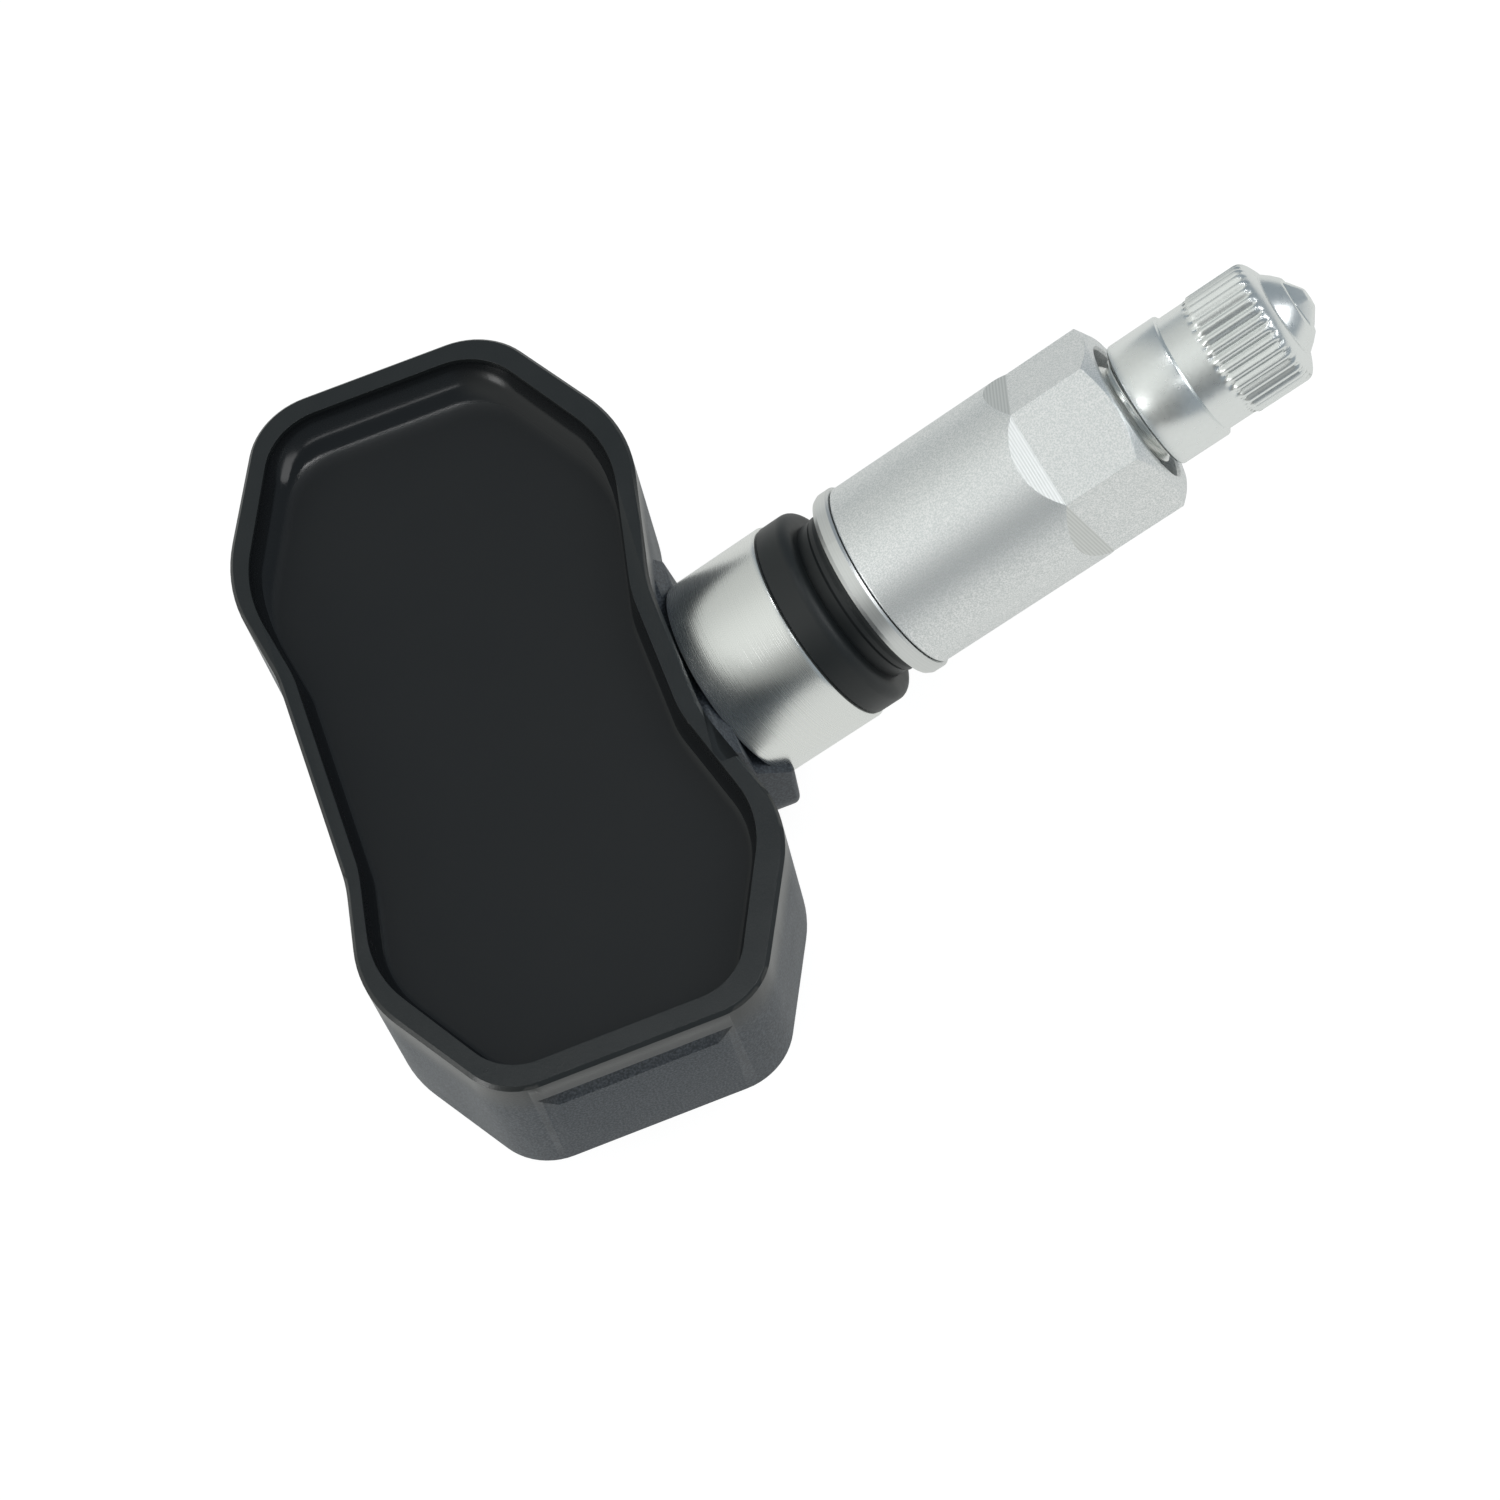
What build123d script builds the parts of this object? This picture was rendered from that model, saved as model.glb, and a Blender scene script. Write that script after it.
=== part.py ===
from build123d import *
import math
import os

os.makedirs("parts", exist_ok=True)

# Frame: the tray lies on its belly at z = 0 with the potted face up. The stem leaves the
# tray's waist towards +X and climbs by stem_tilt. The stem's axis crosses x = 0 at axis_z.
stem_tilt = 23.75
axis_z = 5.77
slope_x = math.cos(math.radians(stem_tilt))
slope_z = math.sin(math.radians(stem_tilt))
stem_axis = Axis((0, 0, axis_z), (slope_x, 0, slope_z))
# Sketches on stem_section are (distance along the stem, radius), those on across(s) face out
stem_section = Plane(origin=(0, 0, axis_z), x_dir=(slope_x, 0, slope_z), z_dir=(0, -1, 0))


def across(s):
    """Plane square to the stem at distance s, its x towards +Y and its y up."""
    origin = (s * slope_x, 0, axis_z + s * slope_z)
    return Plane(origin=origin, x_dir=(0, 1, 0), z_dir=(slope_x, 0, slope_z))


def half_section(*profile):
    """Sketch for stem_section from (distance, radius[, corner radius]) points, to be turned about the stem."""
    with BuildSketch() as half:
        with BuildLine():
            Polyline(*[point[:2] for point in profile], close=True)
        make_face()
        for point in profile:
            if len(point) == 3:
                fillet(half.vertices().sort_by_distance(Vector(*point[:2]))[0], point[2])
    return half.sketch


# Tray: heights
rim_z = 16.7
foot_z = 4.85  # where the outer wall turns in to the belly
floor_z = 6.45
belly_floor = 1.6
board_bottom = 11.6
board_thick = 1.0
fill_bottom = board_bottom + board_thick
fill_flat = 14.3
fill_edge = 15.8
# Tray: walls and insets, side then end
side_wall, end_wall = 1.4, 1.65
stem_side = 0.2  # the wall is this much thicker on the stem's side
ledge = 0.8
belly_side, belly_end = 4.0, 7.0
belly_wall = 1.6
relief = 0.35
relief_points = [(0.2, -4.2), (-0.6, -10.5), (-0.25, -11.3), (3.5, -11.3), (3.5, -4.2)]
foot_edge, rim_edge = 0.2, 0.25
groove_z, groove_up, groove_down = 14.0, 0.75, 1.1
groove_top, groove_bottom, groove_deep = 6.8, 5.4, 1.0  # half widths and depth
# Rim outline seen from above, anticlockwise from the end nearest -Y: x, y, corner radius
rim_points = [
    (-3.45, -28.15, 4.6),
    (2.4, -16.9, 8.0),
    (-0.2, -7.1, 10.0),
    (-0.2, 3.6, 12.0),
    (2.65, 16.3, 10.5),
    (-3.95, 28.35, 5.4),
    (-21.2, 28.35, 5.4),
    (-27.2, 15.5, 11.5),
    (-25.7, 7.0, 10.0),
    (-25.7, -9.8, 10.0),
    (-27.15, -17.7, 8.5),
    (-20.8, -28.15, 4.6),
]
tray_x = -12.4  # middle of the tray
half_w, half_l = 14.35, 28.25


def outline(side, end):
    """The rim outline drawn in by side and end, measured at its widest points."""
    kx, ky = 1 - side / half_w, 1 - end / half_l
    middle = tray_x - min(side, stem_side)
    corners = [(middle + (x - tray_x) * kx, y * ky) for x, y, _ in rim_points]
    with BuildSketch() as face:
        with BuildLine():
            Polyline(*corners, close=True)
        make_face()
        for corner, (_, _, radius) in zip(corners, rim_points):
            fillet(face.vertices().sort_by_distance(Vector(*corner))[0], radius * min(kx, ky))
    return face.sketch


# Stem stations, distances along its axis
root_end = -2.0
root_step = 1.6
collar_in, collar_out = 3.35, 10.79
grommet_out = 15.25
washer_in, washer_out = 15.3, 16.55
nut_in, nut_out = 16.6, 36.65
flat_in = 30.5
stem_out = nut_out + 6.35  # thread left for the cap
seat_out = stem_out - 6.3  # the valve core seals on a cone from here in to seat_in
seat_in = seat_out - 0.8
spring_seat = seat_out - 12.2
cap_in = nut_out + 0.6
skirt_out = cap_in + 3.72
knurl_in = skirt_out + 2.23
knurl_out = knurl_in + 3.8
tip_in = knurl_out + 2.45
cap_out = tip_in + 0.7
# Stem radii
tail_r, root_r = 2.6, 4.2
collar_r = 7.58
shank_r, thread_r = 4.0, 3.85
core_bore, lower_bore, air_r = 2.65, 1.95, 1.3
fit = 0.07
edge = 0.15  # broken edges

# Neck block, seen from the side
neck_y = 8.2
neck_profile = [(-3.9, 0), (4.5, 0), (4.6, 6.3), (2.0, 8.0), (1.45, 11.3), (0.4, 12.6), (-1.2, 12.6), (-3.9, floor_z)]

# Pieces inside the tray
battery_r, battery_thick = 10.0, 3.2
battery_at = (-12.6, -14.4)
tab_thick = 0.3
battery_bottom = floor_z + tab_thick
battery_top = battery_bottom + battery_thick
sensor_at = (-12.6, 22.9)
sensor_size, sensor_thick = 5.6, 1.8
port_r = 0.8
tube_r = 1.7

# Root of the stem, shared by the stem and its seat in the tray
root = [
    (root_end, 0), (root_end, tail_r), (root_step, tail_r), (root_step, root_r),
    (2.0, root_r), (2.0, root_r - 0.5), (2.7, root_r - 0.5), (2.7, root_r), (collar_in, root_r),
]

# Stem, root moulded into the neck block, collar and threaded tube in one
with BuildPart() as valve_stem:
    with BuildSketch(stem_section):
        add(half_section(
            *root, (collar_in, collar_r - edge), (collar_in + edge, collar_r), (collar_out - edge, collar_r),
            (collar_out, collar_r - edge), (collar_out, shank_r),
            (grommet_out, shank_r), (grommet_out + 0.3, thread_r), (stem_out - 0.4, thread_r),
            (stem_out, thread_r - 0.4), (stem_out, core_bore), (seat_out, core_bore), (seat_in, lower_bore),
            (spring_seat, lower_bore), (spring_seat, air_r), (5.2, air_r), (5.2, 0),
        ))
    revolve(axis=stem_axis)
    # Air inlet under the collar
    with BuildSketch(across(6.4)):
        Rectangle(2 * air_r, collar_r + 1, align=(Align.CENTER, Align.MAX))
    extrude(amount=air_r, both=True, mode=Mode.SUBTRACT)
valve_stem.part.label = "valve_stem"
export_step(valve_stem.part, "parts/valve_stem.step")

# Block behind the collar, rounded underneath
with BuildPart() as neck_block:
    with BuildSketch(Plane.XZ.offset(-neck_y)):
        with BuildLine():
            Polyline(*neck_profile, close=True)
        make_face()
    extrude(amount=2 * neck_y)
    low_edges = neck_block.edges().filter_by(Axis.X).group_by(Axis.Z)[0]
    fillet(low_edges, 3.0)
    fillet(neck_block.faces().sort_by(Axis.X)[-1].edges(), 0.5)

# Tray
with BuildPart() as housing:
    with BuildSketch(Plane.XY.offset(foot_z)):
        add(outline(0, 0))
    extrude(amount=rim_z - foot_z)
    chamfer(housing.edges().group_by(Axis.Z)[0], foot_edge)
    chamfer(housing.edges().group_by(Axis.Z)[-1], rim_edge)
    with BuildSketch():
        add(outline(belly_side, belly_end))
    extrude(amount=foot_z + 0.5)
    chamfer(housing.edges().group_by(Axis.Z)[0], 0.8)
    add(neck_block.part)
    # Hollow from the rim down to the board's ledge, then to the floor, then into the belly
    with BuildSketch(Plane.XY.offset(board_bottom)):
        add(outline(side_wall, end_wall))
    extrude(amount=rim_z, mode=Mode.SUBTRACT)
    with BuildSketch(Plane.XY.offset(floor_z)):
        add(outline(side_wall + ledge, end_wall + ledge))
    extrude(amount=rim_z, mode=Mode.SUBTRACT)
    with BuildSketch(Plane.XY.offset(belly_floor)):
        add(outline(belly_side + belly_wall, belly_end + belly_wall))
    extrude(amount=floor_z, mode=Mode.SUBTRACT)
    # Seat of the stem's root and collar
    with BuildSketch(stem_section):
        add(half_section(*root, (collar_in, collar_r), (collar_out, collar_r), (collar_out, 0)))
    revolve(axis=stem_axis, mode=Mode.SUBTRACT)
    # Rim relieved beside the neck
    with BuildSketch(Plane.XY.offset(rim_z - relief)):
        with BuildLine():
            Polyline(*relief_points, close=True)
        make_face()
    extrude(amount=2 * relief, mode=Mode.SUBTRACT)
    # Grip groove across each end wall
    for facing in (-1, 1):
        origin = (tray_x + 0.05, facing * (half_l + 0.1), groove_z)
        groove = Plane(origin=origin, x_dir=(-facing, 0, 0), z_dir=(0, facing, 0))
        with BuildSketch(groove):
            with BuildLine():
                Polyline(
                    (-groove_top, groove_up), (groove_top, groove_up),
                    (groove_bottom, -groove_down), (-groove_bottom, -groove_down), close=True,
                )
            make_face()
        extrude(amount=-groove_deep, taper=32, mode=Mode.SUBTRACT)
    # Pressure port through the floor
    with Locations((*sensor_at, 0)):
        Cylinder(port_r, 2 * floor_z, mode=Mode.SUBTRACT)
housing.part.label = "housing"
export_step(housing.part, "parts/housing.step")

# Potting over the board, its face dished up to the walls
with BuildPart() as potting:
    with BuildSketch(Plane.XY.offset(fill_bottom)):
        add(outline(side_wall, end_wall))
    extrude(amount=fill_edge - fill_bottom)
    for rise, side, end in [(0, 1.1, 3.4), (0.15, 0.7, 2.5), (0.6, 0.3, 1.3), (1.6, 0.02, 0.2)]:
        with BuildSketch(Plane.XY.offset(fill_flat + rise)):
            add(outline(side_wall + side, end_wall + end))
    loft(ruled=True, mode=Mode.SUBTRACT)
potting.part.label = "potting"
export_step(potting.part, "parts/potting.step")

# Circuit board on the tray's ledge
with BuildPart() as circuit_board:
    with BuildSketch(Plane.XY.offset(board_bottom)):
        add(outline(side_wall + 0.3, end_wall + 0.3))
    extrude(amount=board_thick)
circuit_board.part.label = "circuit_board"
export_step(circuit_board.part, "parts/circuit_board.step")


# Battery and its two tabs
with BuildPart(Location((*battery_at, battery_bottom))) as battery:
    Cylinder(battery_r, battery_thick - 0.3, align=(Align.CENTER, Align.CENTER, Align.MIN))
    chamfer(battery.edges().filter_by(GeomType.CIRCLE), 0.4)
    Cylinder(battery_r - 1.4, battery_thick, align=(Align.CENTER, Align.CENTER, Align.MIN))
battery.part.label = "battery"
export_step(battery.part, "parts/battery.step")

tab_width, tab_length = 3.6, 11.0
for name, x, z, reach in [("positive_tab", -16.0, floor_z, 0.6), ("negative_tab", -9.0, battery_top, 1.4)]:
    with BuildPart() as tab:
        riser = battery_at[1] + battery_r + reach
        with Locations((x, riser, z)):
            Box(tab_width, tab_length, tab_thick, align=(Align.CENTER, Align.MAX, Align.MIN))
        with Locations((x, riser, z)):
            Box(tab_width, tab_thick, board_bottom - z, align=(Align.CENTER, Align.MIN, Align.MIN))
    tab.part.label = name
    export_step(tab.part, f"parts/{name}.step")

# Chips, crystal and capacitors on the board
for name, x, y, width, length, height in [
    ("pressure_sensor", *sensor_at, sensor_size, sensor_size, sensor_thick),
    ("controller", -18.6, 9.6, 6.0, 6.0, 0.9),
    ("crystal", -19.2, 3.4, 3.2, 2.5, 0.8),
    ("capacitor_1", -20.6, 15.4, 1.6, 0.8, 0.8),
    ("capacitor_2", -17.8, 15.4, 1.6, 0.8, 0.8),
]:
    with BuildPart() as chip:
        with Locations((x, y, board_bottom)):
            Box(width, length, height, align=(Align.CENTER, Align.CENTER, Align.MAX))
    chip.part.label = name
    export_step(chip.part, f"parts/{name}.step")

# Wake-up coil, a winding on a ferrite bobbin
coil_at = (-8.0, 10.4)
coil_length, winding_length = 11.0, 8.4
flange_size, winding_size, leg_size = 3.6, 3.0, 2.0
with BuildPart() as coil_core:
    with Locations((*coil_at, board_bottom - flange_size / 2)):
        Box(flange_size, coil_length, flange_size)
        Box(flange_size, winding_length, flange_size, mode=Mode.SUBTRACT)
        Box(leg_size, winding_length, leg_size)
coil_core.part.label = "coil_core"
export_step(coil_core.part, "parts/coil_core.step")

with BuildPart() as coil_winding:
    with Locations((*coil_at, board_bottom - flange_size / 2)):
        Box(winding_size, winding_length, winding_size)
        fillet(coil_winding.edges().filter_by(Axis.Y), 0.6)
        Box(leg_size, winding_length, leg_size, mode=Mode.SUBTRACT)
coil_winding.part.label = "coil_winding"
export_step(coil_winding.part, "parts/coil_winding.step")

# Sleeve that leads the tyre's air from the port to the sensor
with BuildPart(Location((*sensor_at, floor_z))) as port_sleeve:
    tube_height = board_bottom - sensor_thick - floor_z
    Cylinder(tube_r, tube_height, align=(Align.CENTER, Align.CENTER, Align.MIN))
    Cylinder(port_r, tube_height, align=(Align.CENTER, Align.CENTER, Align.MIN), mode=Mode.SUBTRACT)
port_sleeve.part.label = "port_sleeve"
export_step(port_sleeve.part, "parts/port_sleeve.step")

# Strip from the root of the stem, which is the aerial, to the board
tail_top_x = root_end * slope_x - tail_r * slope_z
with BuildPart() as aerial_strip:
    with Locations((tail_top_x, 0, board_bottom)):
        Box(tab_thick, 3.0, board_bottom - floor_z, align=(Align.MAX, Align.CENTER, Align.MAX))
        Box(3.0, 3.0, tab_thick, align=(Align.MAX, Align.CENTER, Align.MAX))
aerial_strip.part.label = "aerial_strip"
export_step(aerial_strip.part, "parts/aerial_strip.step")

# Rubber grommet, flange against the collar and neck in the wheel's valve hole
flange_r, neck_r = collar_r - 0.16, 6.0
flange_out = collar_out + 2.51
flange_round = min(0.8, 0.8 * (flange_r - neck_r))
bead_at = grommet_out - 0.8
with BuildPart() as grommet:
    with BuildSketch(stem_section):
        add(half_section(
            (collar_out, shank_r), (collar_out, flange_r - edge), (collar_out + edge, flange_r),
            (flange_out, flange_r, flange_round), (flange_out, neck_r), (bead_at - 0.35, neck_r),
            (bead_at - 0.15, neck_r + 0.12), (bead_at + 0.15, neck_r + 0.12), (bead_at + 0.35, neck_r),
            (grommet_out - edge, neck_r), (grommet_out, neck_r - edge), (grommet_out, shank_r),
        ))
    revolve(axis=stem_axis)
grommet.part.label = "grommet"
export_step(grommet.part, "parts/grommet.step")

# Valve core, fixed pieces
pin_r = 0.55
sleeve_in, sleeve_out, core_out = seat_out - 3.7, seat_out + 1.5, stem_out - 1.1
gasket_out = seat_out + 0.5
with BuildPart() as core_plug:
    with BuildSketch(stem_section):
        add(half_section((sleeve_out, 1.0), (sleeve_out, core_bore - 0.05), (core_out, core_bore - 0.05), (core_out, 1.0)))
    revolve(axis=stem_axis)
    with BuildSketch(across(core_out)):
        with Locations((0, 1.7), (0, -1.7)):
            Rectangle(6, 1.8)
    extrude(amount=-1.6, mode=Mode.SUBTRACT)
    with BuildSketch(across(core_out)):
        Rectangle(2.2, 1.4)
        Circle(pin_r + fit, mode=Mode.SUBTRACT)
    extrude(amount=-1.6)
core_plug.part.label = "core_plug"
export_step(core_plug.part, "parts/core_plug.step")

with BuildPart() as core_sleeve:
    with BuildSketch(stem_section):
        add(half_section(
            (sleeve_in, 1.0), (sleeve_in, 1.7), (gasket_out, 1.7), (gasket_out, 2.3), (sleeve_out, 2.3), (sleeve_out, 1.0),
        ))
    revolve(axis=stem_axis)
core_sleeve.part.label = "core_sleeve"
export_step(core_sleeve.part, "parts/core_sleeve.step")

with BuildPart() as core_gasket:
    with BuildSketch(stem_section):
        add(half_section((seat_in + 0.05, 1.7), (seat_in + 0.05, 1.9), (seat_out, 2.5), (gasket_out, 2.5), (gasket_out, 1.7)))
    revolve(axis=stem_axis)
core_gasket.part.label = "core_gasket"
export_step(core_gasket.part, "parts/core_gasket.step")

# Valve core, moving pin with its cup, and the spring behind it
cup_out = sleeve_in - 0.05
cup_in = cup_out - 0.9
pin_in = spring_seat + 2.0
with BuildPart() as core_pin:
    with BuildSketch(stem_section):
        add(half_section(
            (pin_in, 0), (pin_in, pin_r), (cup_in - 0.3, pin_r), (cup_in - 0.3, 1.6), (cup_in, 1.6), (cup_in, pin_r),
            (stem_out - 0.45, pin_r), (stem_out - 0.3, pin_r - edge), (stem_out - 0.3, 0),
        ))
    revolve(axis=stem_axis)
core_pin.part.label = "core_pin"
export_step(core_pin.part, "parts/core_pin.step")

with BuildPart() as core_cup:
    with BuildSketch(stem_section):
        add(half_section((cup_in, pin_r), (cup_in, 1.55), (cup_out, 1.55), (cup_out, pin_r)))
    revolve(axis=stem_axis)
core_cup.part.label = "core_cup"
export_step(core_cup.part, "parts/core_cup.step")

wire_r, spring_r, spring_turns = 0.18, 1.38, 5
spring_length = cup_in - 0.3 - spring_seat - 2 * wire_r
spring_plane = across(spring_seat + wire_r)
with BuildPart() as core_spring:
    with BuildLine() as coil:
        Helix(spring_length / spring_turns, spring_length, spring_r, spring_plane.origin, spring_plane.z_dir)
    with BuildSketch(Plane(origin=coil.line @ 0, z_dir=coil.line % 0)):
        RegularPolygon(wire_r, 6)
    sweep(is_frenet=True)
core_spring.part.label = "core_spring"
export_step(core_spring.part, "parts/core_spring.step")

# Washer, held on the nut's neck by a swaged lip
lip_in, lip_out = washer_in + 0.2, washer_in + 0.5
washer_r = flange_r - 0.28
nut_neck_r = washer_r - 1.94
lip_r = nut_neck_r + 0.3
with BuildPart() as washer:
    with BuildSketch(stem_section):
        add(half_section(
            (washer_in, lip_r + 0.1), (washer_in, washer_r - edge), (washer_in + 2 * edge, washer_r),
            (washer_out - edge, washer_r), (washer_out, washer_r - edge),
            (washer_out, nut_neck_r + fit), (lip_out + 0.05, nut_neck_r + fit), (lip_out + 0.05, lip_r + 0.1),
        ))
    revolve(axis=stem_axis)
washer.part.label = "washer"
export_step(washer.part, "parts/washer.step")

# Collar nut, hexagon milled into its outer end
flat_h = 6.0
nut_r = flat_h / math.cos(math.radians(30))
hex_turn = 24.3  # one flat's facing, from straight up round towards -Y
mill_depth, run_out = 2.5, math.radians(34.5)
recess_r, recess_deep = 4.95, 3.05
with BuildPart() as nut:
    with BuildSketch(stem_section):
        add(half_section(
            (lip_in, thread_r + fit), (lip_in, lip_r - 0.15), (lip_in + 0.15, lip_r), (lip_out, lip_r),
            (lip_out, nut_neck_r), (nut_in, nut_neck_r), (nut_in, nut_r - 0.12), (nut_in + 0.12, nut_r),
            (nut_out - 0.7, nut_r), (nut_out - 0.05, flat_h - 0.1), (nut_out, flat_h - 0.2),
            (nut_out, recess_r + 0.15), (nut_out - 0.2, recess_r), (nut_out - recess_deep, recess_r),
            (nut_out - recess_deep - 0.4, thread_r + fit),
        ))
    revolve(axis=stem_axis)
    with BuildSketch(stem_section) as mill:
        with BuildLine():
            Polyline(
                (flat_in, flat_h), (nut_out + 1, flat_h), (nut_out + 1, flat_h + mill_depth),
                (flat_in - mill_depth / math.tan(run_out), flat_h + mill_depth), close=True,
            )
        make_face()
    cutter = extrude(mill.sketch, amount=flat_h, both=True, mode=Mode.PRIVATE)
    for turn in range(6):
        add(cutter.rotate(stem_axis, hex_turn + 60 * turn), mode=Mode.SUBTRACT)
nut.part.label = "nut"
export_step(nut.part, "parts/nut.step")

# Cap and its seal
seal_in = stem_out + 0.05
seal_out = seal_in + 0.9
with BuildPart() as cap_seal:
    with BuildSketch(stem_section):
        add(half_section((seal_in, 1.6), (seal_in, thread_r), (seal_out, thread_r), (seal_out, 1.6)))
    revolve(axis=stem_axis)
cap_seal.part.label = "cap_seal"
export_step(cap_seal.part, "parts/cap_seal.step")

skirt_r, band_r, grip_r, cap_tip_r = 4.57, 4.27, 4.43, 2.0
flutes, flute_r = 36, 0.25
with BuildPart() as cap:
    with BuildSketch(stem_section):
        add(half_section(
            (cap_in, thread_r + fit + 0.2), (cap_in, skirt_r - 0.15), (cap_in + 0.15, skirt_r),
            (skirt_out - 0.1, skirt_r), (skirt_out + 0.1, band_r), (knurl_in - 0.25, band_r),
            (knurl_in, grip_r), (knurl_out + 0.3, grip_r), (knurl_out + 0.65, grip_r - 0.3),
            (knurl_out + 0.95, grip_r - 0.8), (tip_in - 1.4, grip_r - 1.2), (tip_in - 1.2, grip_r - 1.28),
            (tip_in - 0.35, cap_tip_r + 0.25), (tip_in, cap_tip_r), (tip_in, 0), (seal_out + 2.2, 0),
            (seal_out + 2.2, 3.0), (seal_out + 0.05, 3.0), (seal_out + 0.05, thread_r + fit),
            (cap_in + 0.2, thread_r + fit),
        ))
    revolve(axis=stem_axis)
    with BuildSketch(across(knurl_in - 0.3)):
        with PolarLocations(grip_r + 0.04, flutes):
            Circle(flute_r)
    extrude(amount=knurl_out - knurl_in + 0.5, mode=Mode.SUBTRACT)
    with BuildSketch(across(tip_in)):
        RegularPolygon(cap_tip_r - 0.25, 6)
    extrude(amount=cap_out - tip_in, taper=38)
cap.part.label = "cap"
export_step(cap.part, "parts/cap.step")
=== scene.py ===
# %% [markdown]
# # A tyre pressure sensor, dressed for its portrait
# The sensor is a black moulded tray filled with resin, and a metal valve stem leaves its waist at an
# angle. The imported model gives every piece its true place. This lesson keeps the pieces whose shape
# is right, gives them real finishes, and models again those that need more detail than a drawing
# holds: the tray's rim, the resin, the stem with its thread, the nut and the cap.

import math

import bmesh
import bpy
from mathutils import Matrix, Vector


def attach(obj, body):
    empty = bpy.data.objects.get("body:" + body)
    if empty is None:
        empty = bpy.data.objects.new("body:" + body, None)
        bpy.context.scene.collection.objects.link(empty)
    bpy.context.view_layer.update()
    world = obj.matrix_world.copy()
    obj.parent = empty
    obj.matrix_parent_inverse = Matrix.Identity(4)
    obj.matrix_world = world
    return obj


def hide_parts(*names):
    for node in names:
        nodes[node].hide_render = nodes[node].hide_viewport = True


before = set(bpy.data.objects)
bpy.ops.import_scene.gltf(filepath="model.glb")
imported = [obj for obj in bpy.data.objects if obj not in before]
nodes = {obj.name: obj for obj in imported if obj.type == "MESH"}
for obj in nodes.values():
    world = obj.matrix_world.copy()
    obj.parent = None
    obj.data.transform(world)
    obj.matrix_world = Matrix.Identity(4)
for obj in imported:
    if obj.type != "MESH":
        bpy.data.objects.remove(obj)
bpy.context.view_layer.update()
mm = 0.001
print("pieces in the frame:", len(nodes))

# %% [markdown]
# ## The stem's own axes
# Everything on the stem is turned about one slanted axis. It is easier to model such a piece upright
# about Z, with its height as the distance along the stem, and to lay it over at the end.

# %% Axes of the stem
STEM_TILT = 23.75
AXIS_Z = 5.77 * mm
stem_turn = Matrix.Rotation(math.radians(90 - STEM_TILT), 4, "Y")
stem_place = Matrix.Translation((0, 0, AXIS_Z)) @ stem_turn
print("stem points towards", [round(value, 3) for value in stem_turn @ Vector((0, 0, 1))])

# %% [markdown]
# ## Helpers for modelling
# Blender's operators act on whatever is selected, so each step starts by clearing the selection and
# then picks vertices, edges or faces by their place.

# %% Select and edit


def only(piece):
    """Make a piece the one that operators act on."""
    bpy.ops.object.select_all(action="DESELECT")
    piece.select_set(True)
    bpy.context.view_layer.objects.active = piece


def edit(piece, what="VERT"):
    only(piece)
    bpy.ops.object.mode_set(mode="EDIT")
    bpy.ops.mesh.select_mode(type=what)
    bpy.ops.mesh.select_all(action="DESELECT")


def pick(piece, test):
    """Select what passes the test: vertices by place, or faces when faces are being edited."""
    shape = bmesh.from_edit_mesh(piece.data)
    use_faces = bpy.context.tool_settings.mesh_select_mode[2]
    items = shape.faces if use_faces else shape.verts
    for item in items:
        item.select_set(bool(test(item.calc_center_median() if use_faces else item.co)))
    shape.select_flush(not use_faces)
    bmesh.update_edit_mesh(piece.data)


def tidy(piece, merge=0.002 * mm):
    """Close seams and poles, and point all faces outwards."""
    edit(piece)
    bpy.ops.mesh.select_all(action="SELECT")
    bpy.ops.mesh.remove_doubles(threshold=merge)
    bpy.ops.mesh.normals_make_consistent(inside=False)
    bpy.ops.object.mode_set(mode="OBJECT")


def smooth(piece, angle=30):
    only(piece)
    bpy.ops.object.shade_smooth_by_angle(angle=math.radians(angle))


def apply(piece, kind, **settings):
    """Add a modifier with its settings and apply it."""
    only(piece)
    modifier = piece.modifiers.new(kind.title(), kind)
    for key, value in settings.items():
        setattr(modifier, key, value)
    bpy.ops.object.modifier_apply(modifier=modifier.name)


def draw_line(name, points):
    """A new piece: a line through (height, radius) points, in millimetres. It stays in edit mode."""
    places = [Vector((radius * mm, 0, height * mm)) for height, radius in points]
    bpy.ops.object.select_all(action="DESELECT")
    bpy.ops.mesh.primitive_plane_add(size=0.1 * mm)
    piece = bpy.context.object
    piece.name = name
    edit(piece)
    pick(piece, lambda place: place.x > 0 or place.y > 0)
    bpy.ops.mesh.delete(type="VERT")
    pick(piece, lambda place: True)
    corner = bmesh.from_edit_mesh(piece.data).verts[:][0].co.copy()
    bpy.ops.transform.translate(value=places[0] - corner)
    for before, after in zip(places, places[1:]):
        bpy.ops.mesh.extrude_region_move(TRANSFORM_OT_translate={"value": after - before})
    return piece


def lathe(name, profile, steps=96):
    """Turn a closed profile of (height, radius) points, in millimetres, about Z."""
    piece = draw_line(name, [*profile, profile[0]])
    bpy.ops.mesh.select_all(action="SELECT")
    bpy.ops.mesh.spin(steps=steps, angle=math.tau, center=(0, 0, 0), axis=(0, 0, 1))
    bpy.ops.object.mode_set(mode="OBJECT")
    tidy(piece)
    return piece


def copy_node(node, name):
    """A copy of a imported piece, free to be changed."""
    piece = nodes[node].copy()
    piece.data = nodes[node].data.copy()
    piece.name = name
    bpy.context.scene.collection.objects.link(piece)
    tidy(piece)
    return piece


def lay_on_stem(piece):
    """Lay an upright piece along the stem, and leave its object at the origin."""
    only(piece)
    piece.matrix_world = stem_place
    bpy.ops.object.transform_apply(location=True, rotation=True, scale=True)


# %% [markdown]
# ## Helpers for materials
# A finish is a small network of nodes. Wrapping a socket in a class lets the maths be written as a
# plain sum, and one method adds any other node.

# %% Shader maths


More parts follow.
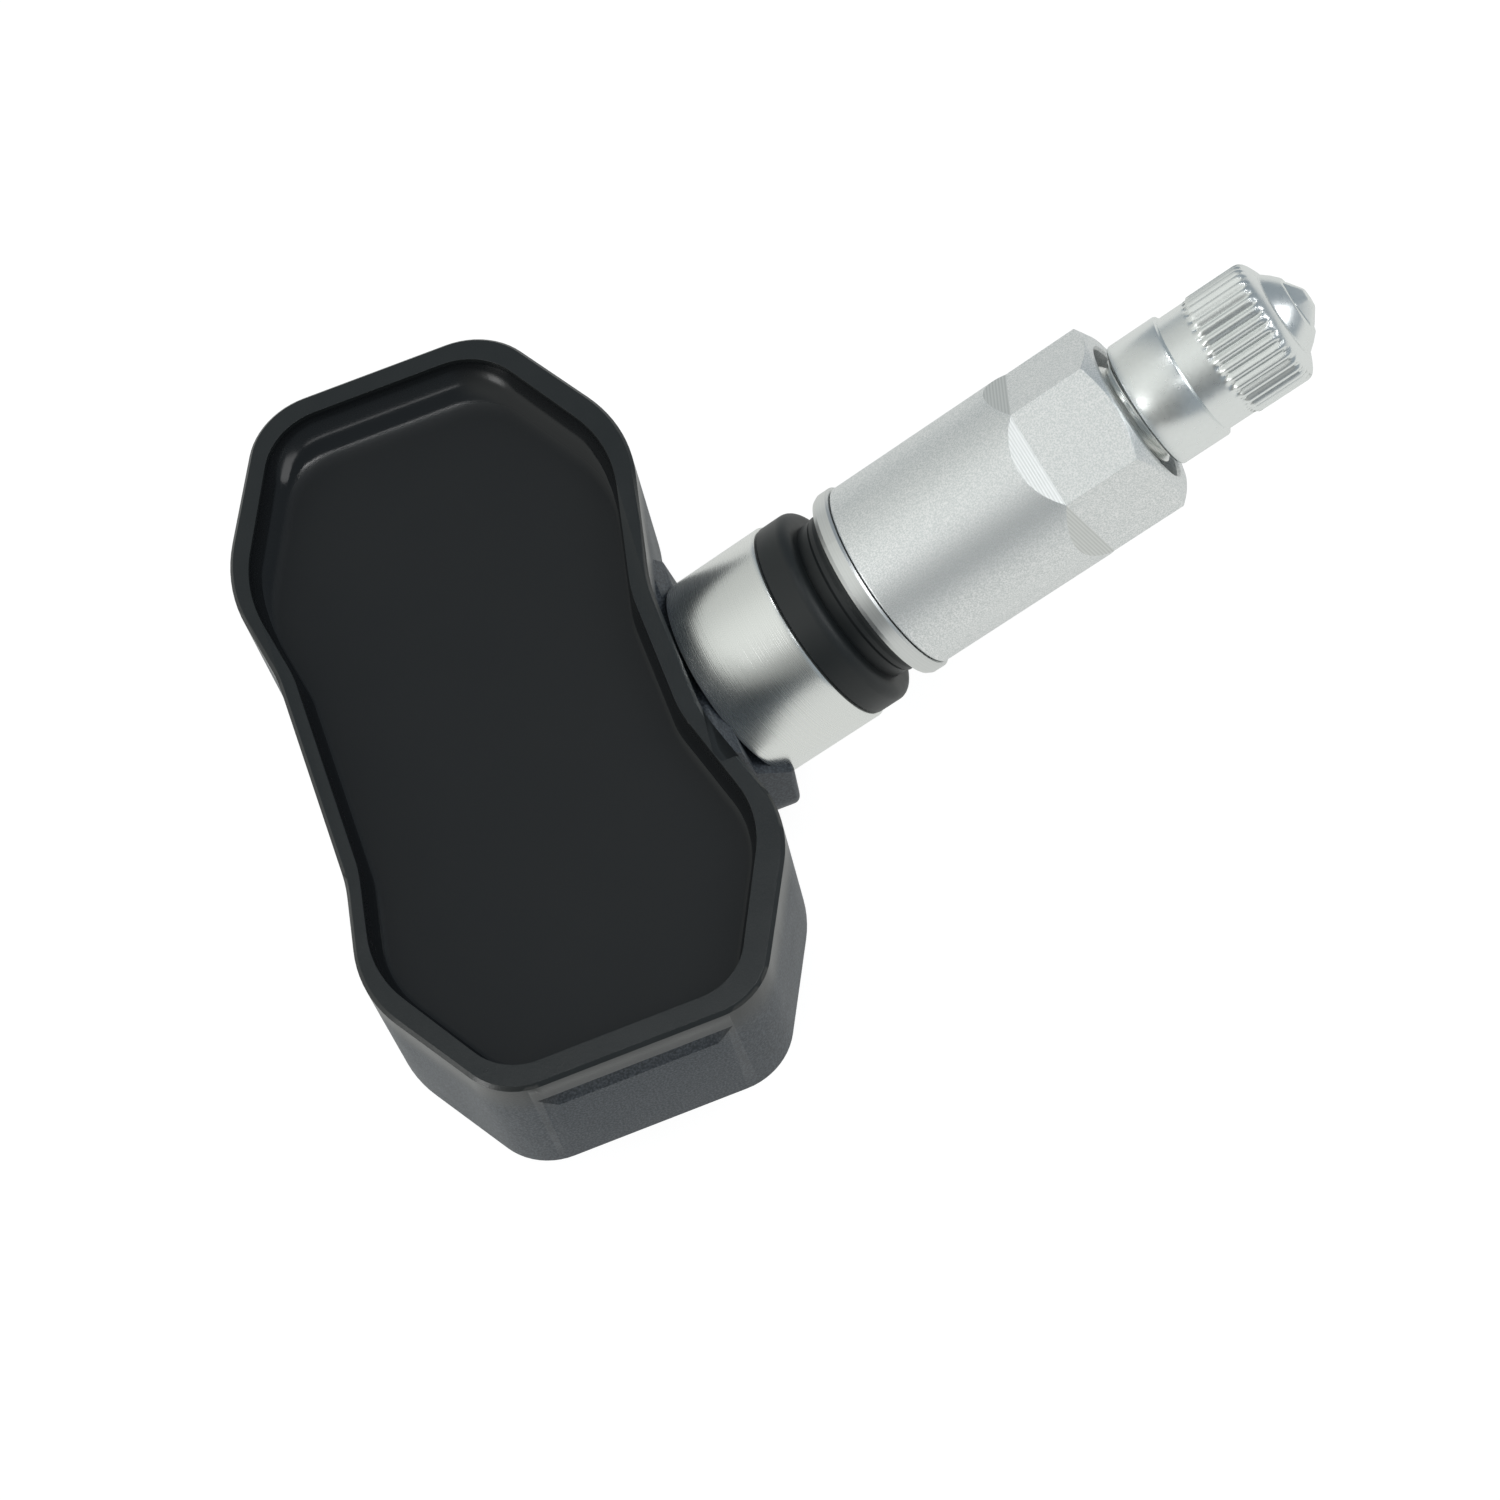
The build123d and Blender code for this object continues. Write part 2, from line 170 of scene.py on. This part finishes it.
class Value:
    """An output socket that can be added, multiplied and so on."""

    def __init__(self, finish, socket):
        self.finish = finish
        self.socket = socket

    def maths(self, operation, *others):
        return self.finish.add("Math", {"operation": operation}, dict(enumerate(others)))

    def __add__(self, other):
        return self.maths("ADD", self, other)

    def __radd__(self, other):
        return self.maths("ADD", other, self)

    def __sub__(self, other):
        return self.maths("SUBTRACT", self, other)

    def __rsub__(self, other):
        return self.maths("SUBTRACT", other, self)

    def __mul__(self, other):
        return self.maths("MULTIPLY", self, other)

    def __rmul__(self, other):
        return self.maths("MULTIPLY", other, self)

    def ramp(self, low, high):
        """0 below low, 1 above high, smooth between."""
        ends = {"From Min": low, "From Max": high}
        settings = {"interpolation_type": "SMOOTHSTEP"}
        return self.finish.add("MapRange", settings, {"Value": self, **ends})


class Nodes:
    """A tree of shader nodes and the maker of its nodes."""

    def __init__(self, tree):
        self.tree = tree

    def add(self, kind, settings, values, output=0):
        node = self.tree.nodes.new("ShaderNode" + kind)
        for key, value in settings.items():
            setattr(node, key, value)
        self.fill(node, values)
        return Value(self, node.outputs[output])

    def fill(self, node, values):
        for key, value in values.items():
            if isinstance(value, Value):
                self.tree.links.new(value.socket, node.inputs[key])
            else:
                node.inputs[key].default_value = value

    def mix(self, mask, low, high):
        """One colour turning into another where the mask goes from 0 to 1."""
        low, high = (colour if isinstance(colour, Value) else (*colour, 1) for colour in (low, high))
        return self.add("Mix", {"data_type": "RGBA"}, {0: mask, 6: low, 7: high}, 2)


class Finish(Nodes):
    """A material with a Principled shader whose patterns sit on Object coordinates."""

    def __init__(self, name):
        self.material = bpy.data.materials.new(name)
        self.material.use_nodes = True
        super().__init__(self.material.node_tree)
        self.shader = self.tree.nodes["Principled BSDF"]
        self.place = self.add("TexCoord", {}, {}, "Object")

    def set(self, **values):
        self.fill(self.shader, {key.replace("_", " "): value for key, value in values.items()})

    def noise(self, size, detail=2.0, place=None, roughness=0.5):
        """Noise whose grains are about this size in millimetres."""
        values = {"Vector": place or self.place, "Scale": 1 / (size * mm), "Detail": detail}
        return self.add("TexNoise", {}, {**values, "Roughness": roughness})

    def bump(self, height, distance, strength=1.0):
        """A relief: height 0 to 1 stands for a depth given in millimetres."""
        values = {"Height": height, "Distance": distance * mm, "Strength": strength}
        self.set(Normal=self.add("Bump", {}, values))

    def along_stem(self):
        """Coordinates laid along the stem: x and y across it, z the distance along it."""
        back = stem_place.inverted()
        settings = {"vector_type": "POINT"}
        values = {"Vector": self.place, "Location": back.to_translation(), "Rotation": back.to_euler()}
        return self.add("Mapping", settings, values)

    def rings(self, size, detail=2.0):
        """Noise that changes only along the stem, as turning marks do."""
        along = self.add("SeparateXYZ", {}, {0: self.along_stem()}, 2)
        values = {"W": along, "Scale": 1 / (size * mm), "Detail": detail}
        return self.add("TexNoise", {"noise_dimensions": "1D"}, values)


# %% [markdown]
# ## Black plastic
# The tray is moulded in a glass-filled nylon. Its rim is dark and satin. Lower down the tool was
# blasted, so the walls are speckled. Their colour is also made paler as a painted reflection of the
# white floor, which they face at a grazing view: a ramp on the height blends one into the other.

# %% Tray finish
tray = Finish("moulded tray")
tray_height = tray.add("SeparateXYZ", {}, {0: tray.place}, 2)
walls = 1 - tray_height.ramp(12.5 * mm, 16.0 * mm)
grain = tray.noise(0.16, 3.0, roughness=0.7)
patches = tray.noise(3.0, 2.0)
speckle = grain.ramp(0.40, 0.64)
rim_colour = tray.mix(patches, (0.0135, 0.0160, 0.0165), (0.0185, 0.0210, 0.0215))
# Painted reflection: the wall colour is paler than the plastic to stand for the floor seen at a
# grazing view; the speckle in it is real
wall_speckle_and_painted_reflection = tray.mix(speckle, (0.028, 0.034, 0.042), (0.084, 0.096, 0.112))
tray.set(Base_Color=tray.mix(walls, rim_colour, wall_speckle_and_painted_reflection))
tray.set(Roughness=0.25 + 0.10 * patches + 0.17 * walls)
tray.bump(grain, 0.016, 0.6)

# %% [markdown]
# ## Potting resin
# The resin is poured and wets the walls, so it sets with a hollow, glossy edge and a nearly flat,
# duller middle. The gloss follows the height: full at the foot of the hollow, less near its top.

# %% Resin finish
FILL_FLAT = 14.3
FILL_EDGE = 16.4
resin = Finish("potting resin")
height = resin.add("SeparateXYZ", {}, {0: resin.place}, 2)
climb = height.ramp((FILL_FLAT + 0.02) * mm, (FILL_FLAT + 0.25) * mm)
clouds = resin.noise(5.0, 3.0)
specks = resin.noise(0.12, 2.0)
resin.set(Base_Color=resin.mix(clouds, (0.0085, 0.0100, 0.0115), (0.0110, 0.0122, 0.0132)))
steep = height.ramp((FILL_FLAT + 0.3) * mm, (FILL_FLAT + 1.2) * mm)
resin.set(Roughness=0.46 + 0.08 * specks - 0.40 * climb + 0.18 * steep)
resin.set(Specular_IOR_Level=0.35)
resin.bump(specks, 0.004, 0.35)

# %% [markdown]
# ## Turned aluminium
# The collar is turned on a lathe and left bright. A cutting tool leaves rings too fine to count, so
# the noise is stretched: it changes along the stem and stays the same round it.

# %% Collar finish
turned = Finish("turned aluminium")
rings = turned.rings(0.06, 0.0)
turned.set(Base_Color=turned.mix(rings, (0.84, 0.85, 0.83), (0.90, 0.91, 0.89)), Metallic=1.0)
turned.set(Roughness=0.25 + 0.06 * rings)
turned.bump(rings, 0.004)

# %% [markdown]
# ## Blasted aluminium
# The nut is blasted with fine beads and clear anodised. Each dent is a tiny mirror of its own, so
# the surface sparkles: grains a tenth of a millimetre wide tilt the light and change the gloss, and
# the brightest grains are coloured near white as painted glints.

# %% Nut finish
blasted = Finish("blasted aluminium")
dents = blasted.noise(0.11, 2.0, roughness=0.7)
painted_glint_grains = dents.ramp(0.38, 0.66)
# Painted glints: the colour turns near white on the brightest grains
blasted.set(Base_Color=blasted.mix(painted_glint_grains, (0.76, 0.785, 0.78), (1.0, 1.0, 1.0)), Metallic=1.0)
blasted.set(Roughness=0.52 - 0.14 * painted_glint_grains)
blasted.bump(dents, 0.018, 0.6)

# %% [markdown]
# Where the cutter ran out of the hexagon it left fine lines across each crescent. They are a
# material of their own: a wave along the stem, given later to those faces.

# %% Run-out finish
milled = Finish("milled run-out")
cuts = milled.add("TexWave", {"bands_direction": "Z", "wave_profile": "SIN"},
                  {"Vector": milled.along_stem(), "Scale": 1 / (0.55 * mm)})
milled.set(Base_Color=milled.mix(cuts, (0.70, 0.71, 0.69), (0.84, 0.85, 0.83)), Metallic=1.0)
milled.set(Roughness=0.46)
milled.bump(cuts, 0.006, 0.6)

# %% [markdown]
# ## Nickel, rubber and the washer

# %% Cap, grommet and washer finishes
nickel = Finish("bright nickel")
polish = nickel.noise(0.35, 2.0)
nickel.set(Base_Color=nickel.mix(polish, (0.86, 0.88, 0.87), (0.94, 0.96, 0.95)), Metallic=1.0)
nickel.set(Roughness=0.24 + 0.10 * polish)
nickel.bump(polish, 0.004, 0.6)

rubber = Finish("black rubber")
bloom = rubber.noise(1.6, 3.0)
rubber.set(Base_Color=rubber.mix(bloom, (0.008, 0.0105, 0.0115), (0.012, 0.0150, 0.0160)))
rubber.set(Roughness=0.40 + 0.12 * bloom)
rubber.bump(rubber.noise(0.12, 2.0), 0.004, 0.5)

satin = Finish("satin washer")
brushing = satin.rings(0.10)
satin.set(Base_Color=satin.mix(brushing, (0.70, 0.71, 0.70), (0.80, 0.81, 0.80)), Metallic=1.0)
satin.set(Roughness=0.30 + 0.08 * brushing)
satin.bump(brushing, 0.002, 0.5)

# %% [markdown]
# ## Finishes inside the tray
# These show only when the sensor is taken apart, yet each has the look of the real piece.

# %% Inner finishes


def plain(name, low, high, size, roughness, metallic=0.0, relief=0.003):
    """A finish of two close colours with a fine relief."""
    finish = Finish(name)
    mottle = finish.noise(size, 2.0)
    finish.set(Base_Color=finish.mix(mottle, low, high), Metallic=metallic)
    finish.set(Roughness=roughness + 0.08 * mottle)
    finish.bump(mottle, relief, 0.5)
    return finish


inner = {
    "board": plain("solder resist", (0.01, 0.10, 0.04), (0.02, 0.16, 0.06), 1.2, 0.32),
    "steel": plain("brushed steel", (0.52, 0.52, 0.53), (0.64, 0.64, 0.65), 0.3, 0.30, 1.0),
    "chip": plain("chip resin", (0.012, 0.012, 0.013), (0.020, 0.020, 0.021), 0.1, 0.50),
    "ferrite": plain("ferrite", (0.045, 0.045, 0.05), (0.07, 0.07, 0.075), 0.1, 0.55),
    "copper": plain("enamelled wire", (0.50, 0.20, 0.07), (0.66, 0.30, 0.12), 0.15, 0.30, 1.0, 0.02),
    "ceramic": plain("fired ceramic", (0.42, 0.33, 0.22), (0.50, 0.41, 0.29), 0.2, 0.45),
    "brass": plain("turned brass", (0.68, 0.48, 0.20), (0.78, 0.57, 0.27), 0.2, 0.24, 1.0),
}

# %% Which piece has which finish
dressed = {
    "grommet": rubber,
    "washer": satin,
    "circuit_board": inner["board"],
    "battery": inner["steel"],
    "positive_tab": nickel,
    "negative_tab": nickel,
    "aerial_strip": nickel,
    "pressure_sensor": inner["chip"],
    "controller": inner["chip"],
    "crystal": inner["steel"],
    "capacitor_1": inner["ceramic"],
    "capacitor_2": inner["ceramic"],
    "coil_core": inner["ferrite"],
    "coil_winding": inner["copper"],
    "port_sleeve": rubber,
    "core_plug": inner["brass"],
    "core_sleeve": inner["brass"],
    "core_pin": inner["brass"],
    "core_spring": inner["steel"],
    "core_gasket": rubber,
    "core_cup": rubber,
    "cap_seal": rubber,
}


def dress(piece, finish):
    piece.data.materials.clear()
    piece.data.materials.append(finish.material)


for name, finish in dressed.items():
    dress(nodes[name], finish)

# %% [markdown]
# ## The tray's rim
# A moulded rim has no sharp edges: each one is a thin line of light. A copy of the tray has its flat
# faces joined, and the edges of the rim, found by their angle and place, are rounded. The rim by the
# stem is left out, since the neck block meets it there.

# %% Tray
RIM_Z = 16.7
RIM_ROUNDING = 0.12
WAIST_HALF_LENGTH = 9.5
housing = copy_node("housing", "moulded_tray")
edit(housing)
bpy.ops.mesh.select_all(action="SELECT")
bpy.ops.mesh.dissolve_limited(angle_limit=math.radians(1))
bpy.ops.mesh.select_mode(type="EDGE")
bpy.ops.mesh.select_all(action="DESELECT")
bpy.ops.mesh.edges_select_sharp(sharpness=math.radians(30))
shape = bmesh.from_edit_mesh(housing.data)
for edge in shape.edges:
    middle = (edge.verts[0].co + edge.verts[1].co) / 2
    on_rim = middle.z > (RIM_Z - 0.02) * mm and abs(middle.y) > WAIST_HALF_LENGTH * mm
    edge.select_set(edge.select and on_rim)
bpy.ops.mesh.bevel(offset=RIM_ROUNDING * mm, segments=3, clamp_overlap=True)
bpy.ops.object.mode_set(mode="OBJECT")
smooth(housing, 32)
apply(housing, "WEIGHTED_NORMAL", keep_sharp=True)
dress(housing, tray)
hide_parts("housing")
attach(housing, "sensor")
print("tray faces:", len(housing.data.polygons))

# %% [markdown]
# ## The resin's surface
# The drawing has the resin with a stepped rim. Here its upper edge is drawn again as a quarter of an
# ellipse, from the wall down to the flat: rings are extruded one by one, each drawn in a little more.

# %% Potting
TRAY_X = -12.6
HALF_WIDTH, HALF_LENGTH = 14.35 - 1.4, 28.25 - 1.65
HOLLOW_SIDE, HOLLOW_FAR, HOLLOW_NEAR = 0.95, 3.4, 0.9
FILL_CUT = 13.6
RINGS = 12

potting = copy_node("potting", "potting_resin")
edit(potting)
bpy.ops.mesh.select_all(action="SELECT")
bpy.ops.mesh.bisect(plane_co=(0, 0, FILL_CUT * mm), plane_no=(0, 0, 1), clear_outer=True)
pick(potting, lambda place: place.z > (FILL_CUT - 0.01) * mm)
rise = (0, 0, (FILL_EDGE - FILL_CUT) * mm)
bpy.ops.mesh.extrude_region_move(TRANSFORM_OT_translate={"value": rise})
# The rings shrink about a point nearer to the shallow end, so that the far end is drawn in more
share = HOLLOW_FAR / (HOLLOW_FAR + HOLLOW_NEAR)
centre = Vector((TRAY_X, HALF_LENGTH * (1 - 2 * share), FILL_EDGE)) * mm
before = (1.0, 1.0, FILL_EDGE)
for ring in range(1, RINGS + 1):
    turn = math.radians(90 * ring / RINGS)
    drawn = 1 - math.cos(turn)
    now = (1 - HOLLOW_SIDE * drawn / HALF_WIDTH,
           1 - (HOLLOW_FAR + HOLLOW_NEAR) * drawn / (2 * HALF_LENGTH),
           FILL_EDGE - (FILL_EDGE - FILL_FLAT) * math.sin(turn))
    drop = (0, 0, (now[2] - before[2]) * mm)
    bpy.ops.mesh.extrude_region_move(TRANSFORM_OT_translate={"value": drop})
    ratio = (now[0] / before[0], now[1] / before[1], 1)
    bpy.ops.transform.resize(value=ratio, center_override=centre)
    before = now
bpy.ops.mesh.edge_face_add()
bpy.ops.object.mode_set(mode="OBJECT")
tidy(potting)
smooth(potting, 35)
dress(potting, resin)
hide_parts("potting")
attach(potting, "sensor")
print("resin faces:", len(potting.data.polygons))

# %% [markdown]
# ## The stem and its thread
# The drawing has the thread as a plain cylinder. A real valve thread has 32 turns to the inch. One
# tooth of it is drawn as a line of four points and a Screw modifier winds it up the stem, then two
# cuts square off its ends.

# %% Stem
PITCH = 25.4 / 32
CREST, ROOT = 3.85, 3.42
THREAD_IN, STEM_OUT = 15.6, 43.0
stem = lathe("valve_stem_turned", [
    (-2.0, 0.0), (-2.0, 2.6), (1.6, 2.6), (1.6, 4.2), (2.0, 4.2), (2.0, 3.7), (2.7, 3.7), (2.7, 4.2),
    (3.35, 4.2), (3.35, 7.43), (3.40, 7.54), (3.50, 7.58), (3.7, 7.58), (10.4, 7.58), (10.64, 7.58),
    (10.74, 7.54), (10.79, 7.43), (10.79, 4.0), (15.25, 4.0), (THREAD_IN, ROOT),
    (STEM_OUT, ROOT), (STEM_OUT, 2.65), (36.7, 2.65), (35.9, 1.95), (24.5, 1.95), (24.5, 1.3),
    (5.2, 1.3), (5.2, 0.0)], steps=128)
# A slot in the underside lets the tyre's air into the bore
only(stem)
bpy.ops.mesh.primitive_cube_add(size=1, location=(0, 0, 0))
inlet = bpy.context.object
inlet.scale = (9 * mm, 2.6 * mm, 2.6 * mm)
inlet.location = (4.5 * mm, 0, 6.4 * mm)
apply(stem, "BOOLEAN", operation="DIFFERENCE", object=inlet, solver="EXACT")
bpy.data.objects.remove(inlet)
smooth(stem, 32)
lay_on_stem(stem)
dress(stem, turned)
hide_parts("valve_stem")
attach(stem, "sensor")

# %% Thread
thread = draw_line("stem_thread", [
    (THREAD_IN - PITCH, ROOT), (THREAD_IN - 0.56 * PITCH, CREST), (THREAD_IN - 0.44 * PITCH, CREST),
    (THREAD_IN, ROOT)])
bpy.ops.object.mode_set(mode="OBJECT")
TURNS = math.ceil((STEM_OUT - THREAD_IN) / PITCH) + 1
apply(thread, "SCREW", axis="Z", screw_offset=PITCH * mm, angle=math.tau, iterations=TURNS, steps=48,
      render_steps=48, use_merge_vertices=True, merge_threshold=0.001 * mm)
tidy(thread)
edit(thread)
for cut, side in [(THREAD_IN + 0.1, -1), (STEM_OUT - 0.15, 1)]:
    bpy.ops.mesh.select_all(action="SELECT")
    bpy.ops.mesh.bisect(
        plane_co=(0, 0, cut * mm), plane_no=(0, 0, side), clear_outer=True, use_fill=True)
bpy.ops.object.mode_set(mode="OBJECT")
tidy(thread)
bpy.ops.object.select_all(action="DESELECT")
bpy.ops.mesh.primitive_cylinder_add(
    vertices=96, radius=3.2 * mm, depth=60 * mm, location=(0, 0, 30 * mm))
bore = bpy.context.object
apply(thread, "BOOLEAN", operation="DIFFERENCE", object=bore, solver="EXACT")
bpy.data.objects.remove(bore)
smooth(thread, 30)
lay_on_stem(thread)
dress(thread, turned)
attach(thread, "sensor")
print("thread turns:", TURNS, "faces:", len(thread.data.polygons))

# %% [markdown]
# ## The collar nut
# The nut is turned round, then six flats are milled into its outer end. The cutter leaves each flat
# on a slope, which meets the round as a crescent. A wedge is subtracted six times, and the sharp
# edges are broken with a small bevel. Weighted normals keep the flats flat beside those bevels.

# %% Nut
FLAT_HEIGHT = 6.0
NUT_R = FLAT_HEIGHT / math.cos(math.radians(30))
FLAT_IN, NUT_IN, NUT_OUT = 30.5, 16.6, 36.65
RUN_OUT = 34.5
HEX_TURN = 24.3
nut = lathe("collar_nut", [
    (15.5, 3.92), (15.5, 5.35), (15.65, 5.5), (15.8, 5.5), (15.8, 5.2), (NUT_IN, 5.2),
    (NUT_IN, NUT_R - 0.12), (NUT_IN + 0.04, NUT_R - 0.05), (NUT_IN + 0.14, NUT_R), (35.95, NUT_R),
    (36.6, 5.9), (NUT_OUT, 5.8), (NUT_OUT, 5.1), (NUT_OUT - 0.2, 4.95), (33.6, 4.95),
    (33.2, 3.92)], steps=180)
WEDGE_DEPTH = 4.0
slope = WEDGE_DEPTH / math.tan(math.radians(RUN_OUT))
for turn in range(6):
    bpy.ops.object.select_all(action="DESELECT")
    bpy.ops.mesh.primitive_cube_add(size=1)
    wedge = bpy.context.object
    edit(wedge)
    bpy.ops.mesh.select_all(action="SELECT")
    bpy.ops.transform.resize(value=(WEDGE_DEPTH * mm, 14 * mm, 10 * mm))
    bpy.ops.transform.translate(value=((FLAT_HEIGHT + WEDGE_DEPTH / 2) * mm, 0, (FLAT_IN + 5) * mm))
    pick(wedge, lambda place: place.z < 32 * mm and place.x > 7 * mm)
    bpy.ops.transform.translate(value=(0, 0, -slope * mm))
    bpy.ops.object.mode_set(mode="OBJECT")
    # Local up is -X once the piece is laid on the stem, and -Y stays -Y
    wedge.rotation_euler = (0, 0, math.radians(180 + HEX_TURN + 60 * turn))
    apply(nut, "BOOLEAN", operation="DIFFERENCE", object=wedge, solver="EXACT")
    bpy.data.objects.remove(wedge)
tidy(nut)
apply(nut, "BEVEL", width=0.05 * mm, segments=2, limit_method="ANGLE", angle_limit=math.radians(18))
smooth(nut, 12)
apply(nut, "WEIGHTED_NORMAL", keep_sharp=True)
lay_on_stem(nut)
dress(nut, blasted)
nut.data.materials.append(milled.material)
# The crescents lie just inside the flats and lean towards the end of the stem
CRESCENT_LENGTH = 2.0
back = stem_place.inverted()
run_outs = 0
for face in nut.data.polygons:
    centre_on_stem = back @ face.center
    leans = (back.to_3x3() @ face.normal).z
    beside = (FLAT_IN - CRESCENT_LENGTH) * mm < centre_on_stem.z < FLAT_IN * mm
    if beside and 0.4 < leans < 0.95:
        face.material_index = 1
        run_outs += 1
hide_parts("nut")
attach(nut, "nut_body")
print("nut faces:", len(nut.data.polygons), "in run-outs:", run_outs)

# %% [markdown]
# ## The dust cap
# A thin nickel-plated cap with a plain skirt, a neck, a fluted grip and a small faceted tip. The
# flutes are pressed into a turned shape: every sixth line of vertices round the grip moves in most,
# and the lines beside it less.

# %% Cap
FLUTES = 36
STEPS = FLUTES * 6
GRIP_R = 4.43
grip = [43.2, 43.35, 43.6, 44.5, 45.5, 46.6, 47.0]
cap = lathe("dust_cap", [
    (37.25, 4.12), (37.25, 4.40), (37.30, 4.50), (37.42, 4.57), (40.80, 4.57), (40.92, 4.53),
    (41.0, 4.40), (41.05, 4.27), (41.15, 4.27), (42.8, 4.27), (42.95, 4.27),
    *[(place, GRIP_R) for place in grip], (47.25, 4.36), (47.45, 4.22), (47.62, 4.00), (47.80, 3.66),
    (47.92, 3.40), (47.99, 3.22), (47.98, 3.12), (48.02, 3.04), (48.12, 2.98), (48.6, 2.58),
    (49.0, 2.16), (49.08, 2.06), (49.12, 1.90), (49.12, 0.0), (46.2, 0.0), (46.2, 3.0), (44.0, 3.0),
    (44.0, 3.92), (37.45, 3.92)], steps=STEPS)
edit(cap)


def in_grip(low, high, phases):
    """A test for the grip's outer vertices whose place round the cap is one of these sixths."""

    def test(place):
        if math.hypot(place.x, place.y) < 4.3 * mm or not low * mm < place.z < high * mm:
            return False
        step = round(math.atan2(place.y, place.x) / math.tau * STEPS)
        return step % 6 in phases
    return test


for low, high, phases, depth in [
    (43.3, 47.1, (0,), 0.26), (43.3, 47.1, (1, 5), 0.17), (43.3, 47.1, (2, 4), 0.03),
    (43.15, 43.25, (2, 3, 4), 0.13), (43.15, 43.25, (0, 1, 5), 0.26),
    (47.2, 47.4, (0,), 0.16), (47.2, 47.4, (1, 5), 0.10),
]:
    pick(cap, in_grip(low, high, phases))
    shrink = 1 - depth / GRIP_R
    bpy.ops.transform.resize(value=(shrink, shrink, 1), center_override=(0, 0, 0))
bpy.ops.object.mode_set(mode="OBJECT")
smooth(cap, 38)
lay_on_stem(cap)
dress(cap, nickel)
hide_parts("cap")
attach(cap, "cap_body")

# %% Tip of the cap
bpy.ops.object.select_all(action="DESELECT")
bpy.ops.mesh.primitive_cone_add(vertices=6, radius1=2.05 * mm, radius2=0.75 * mm, depth=0.85 * mm,
                                location=(0, 0, 49.525 * mm))
tip = bpy.context.object
tip.name = "cap_tip"
bpy.ops.object.transform_apply(location=True)
apply(tip, "BEVEL", width=0.18 * mm, segments=4)
smooth(tip, 30)
lay_on_stem(tip)
dress(tip, nickel)
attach(tip, "cap_body")

# %% [markdown]
# ## Camera
# The photograph was taken with a long lens from above the near end of the tray, rolled so that the
# stem climbs to the upper right. The two directions below fix it exactly.

# %% Camera
LENS = 79.2
camera_place = Vector((-9.121, -116.807, 201.102)) * mm
look = Vector((0.0508, 0.4961, -0.8668)).normalized()
right = Vector((0.9326, -0.3340, -0.1365)).normalized()
right = (right - right.dot(look) * look).normalized()
up = right.cross(look)
camera_data = bpy.data.cameras.new("camera")
camera_data.lens = LENS
camera_data.sensor_width = 36
camera_data.clip_start = 0.005
camera = bpy.data.objects.new("camera", camera_data)
bpy.context.scene.collection.objects.link(camera)
axes = Matrix((right, up, -look)).transposed().to_4x4()
camera.matrix_world = Matrix.Translation(camera_place) @ axes
bpy.context.scene.camera = camera

# %% [markdown]
# ## Studio
# Metal shows what is round it, so the studio is drawn for the stem: a broad pale panel overhead,
# which fades to a dark near horizon and is dimmer on the left. The white floor is the bright lower
# half of every reflection. Two narrow lamps draw the two thin lines on the resin's hollow edge, and
# two larger ones light the plastic walls from the left and the right.

# %% Floor
bpy.ops.object.select_all(action="DESELECT")
bpy.ops.mesh.primitive_plane_add(size=12, location=(0, 0, 0))
floor = bpy.context.object
floor.name = "floor"
WHITE_SHARE = 0.82  # of what the camera sees of the floor; the rest keeps the shadow
paper = Finish("white floor")
paper.set(Base_Color=(0.9, 0.9, 0.9, 1), Roughness=0.9)
white = paper.add("Emission", {}, {"Color": (1, 1, 1, 1), "Strength": 1.15})
pale = paper.add("Emission", {}, {"Color": (0.98, 1.0, 0.98, 1), "Strength": 0.74})
to_camera = paper.add("LightPath", {}, {}, "Is Camera Ray")
to_metal = paper.add("LightPath", {}, {}, "Is Glossy Ray")
shaded = Value(paper, paper.shader.outputs[0])
seen = paper.add("MixShader", {}, {0: to_camera * WHITE_SHARE, 1: shaded, 2: white})
joined = paper.add("MixShader", {}, {0: to_metal, 1: seen, 2: pale})
paper.tree.links.new(joined.socket, paper.tree.nodes["Material Output"].inputs[0])
dress(floor, paper)

# %% World
# Brightness of the panel from the near horizon (-Y) over the top to the far one (+Y)
PANEL = [(-0.92, 0.16), (-0.72, 0.30), (-0.42, 0.63), (-0.10, 0.80), (0.25, 0.74), (0.60, 0.60),
         (0.95, 0.56)]
SIDE = (0.27, 0.31, 0.34)
world = bpy.data.worlds.new("studio")
bpy.context.scene.world = world
world.use_nodes = True
sky = Nodes(world.node_tree)
direction = sky.add("TexCoord", {}, {}, "Generated")
across_panel = sky.add("SeparateXYZ", {}, {0: direction}, 1)
leftwards = sky.add("SeparateXYZ", {}, {0: direction}, 0).ramp(-0.02, -0.40)
band = sky.add("ValToRGB", {}, {0: across_panel * 0.5 + 0.5})
stops = band.socket.node.color_ramp.elements
for number, (place, level) in enumerate(PANEL):
    stop = stops[number] if number < 2 else stops.new((place + 1) / 2)
    stop.position = (place + 1) / 2
    stop.color = (level, level * 1.03, level, 1)
sky.fill(sky.tree.nodes["Background"], {"Color": sky.mix(leftwards, SIDE, band)})


def softbox(name, place, width, length, radiance):
    """A rectangular lamp that looks at the part; a lamp of radiance 1 shows as white."""
    data = bpy.data.lights.new(name, "AREA")
    data.shape = "RECTANGLE"
    data.size, data.size_y = width, length
    data.energy = radiance * math.pi * width * length
    light = bpy.data.objects.new(name, data)
    bpy.context.scene.collection.objects.link(light)
    light.location = place
    towards = Vector((0.01, 0, 0.01)) - light.location
    light.rotation_euler = towards.to_track_quat("-Z", "Y").to_euler()
    return light


softbox("overhead", (0.03, 0.10, 0.52), 0.16, 0.025, 14.0)
softbox("near", (0.03, -0.24, 0.46), 0.24, 0.03, 4.0)
softbox("right", (0.42, -0.10, 0.42), 0.30, 0.30, 2.5)
softbox("left", (-0.47, -0.18, 0.19), 0.16, 0.20, 5.0)
bpy.context.scene.view_settings.view_transform = "Standard"
